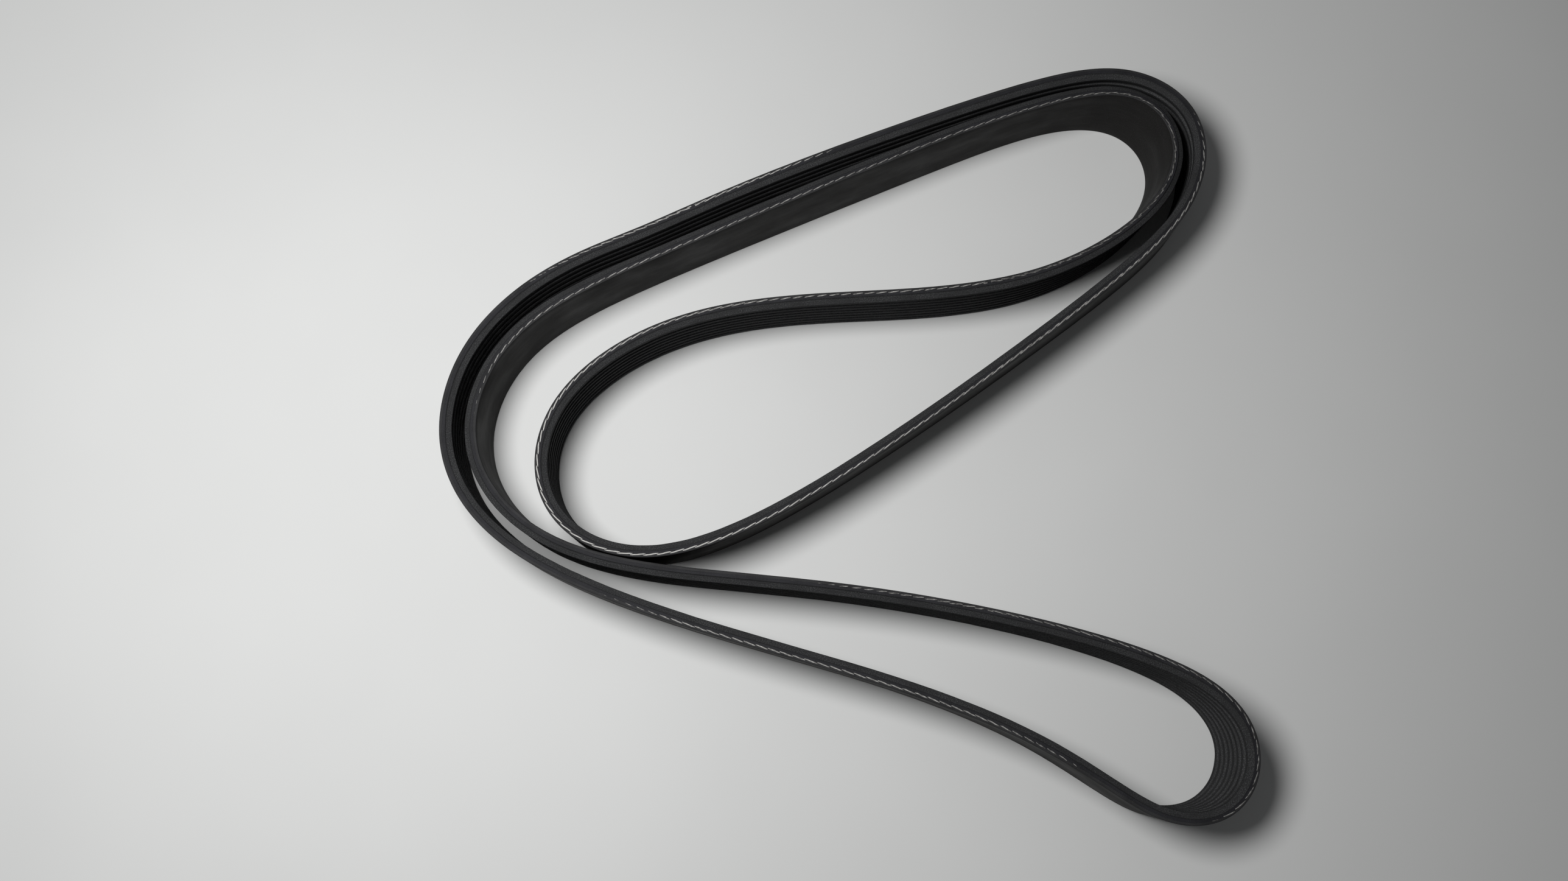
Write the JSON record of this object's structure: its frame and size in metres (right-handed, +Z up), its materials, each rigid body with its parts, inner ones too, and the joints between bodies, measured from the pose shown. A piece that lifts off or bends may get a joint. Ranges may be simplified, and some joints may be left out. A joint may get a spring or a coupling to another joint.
{
  "type": "multi-rib drive belt",
  "caption": "Endless rubber accessory drive belt with lengthwise ribs inside, smooth back and white tensile cord at the cut edge, folded loosely and standing on edge.",
  "frame": {"origin": "centre of the belt's bounding box in plan, on the surface that its lower cut edge stands on", "axes": "+Z up, along the belt's width; +X along the longest extent of the folded belt; +Y completes the frame"},
  "size_m": [0.2702, 0.2617, 0.0286],
  "materials": {
    "back_rubber": "smooth matte brownish black backing rubber",
    "adhesion_rubber": "knife-cut matte grey-black rubber",
    "rib_rubber": "ground matte fibre-filled black rubber",
    "polyester_cord": "twisted off-white polyester cord"
  },
  "bodies": {
    "root": {"back_cover": "back_rubber", "adhesion_rubber": "adhesion_rubber", "rib_layer": "rib_rubber", "cord_turn_01": "polyester_cord", "cord_turn_02": "polyester_cord", "cord_turn_03": "polyester_cord", "cord_turn_04": "polyester_cord", "cord_turn_05": "polyester_cord", "cord_turn_06": "polyester_cord", "cord_turn_07": "polyester_cord", "cord_turn_08": "polyester_cord", "cord_turn_09": "polyester_cord", "cord_turn_10": "polyester_cord", "cord_turn_11": "polyester_cord", "cord_turn_12": "polyester_cord", "cord_turn_13": "polyester_cord", "cord_turn_14": "polyester_cord", "cord_turn_15": "polyester_cord", "cord_turn_16": "polyester_cord", "cord_turn_17": "polyester_cord", "cord_turn_18": "polyester_cord", "cord_turn_19": "polyester_cord", "cord_turn_20": "polyester_cord", "cord_turn_21": "polyester_cord", "cord_turn_22": "polyester_cord", "cord_turn_23": "polyester_cord", "cord_turn_24": "polyester_cord"}
  },
  "joints": []
}
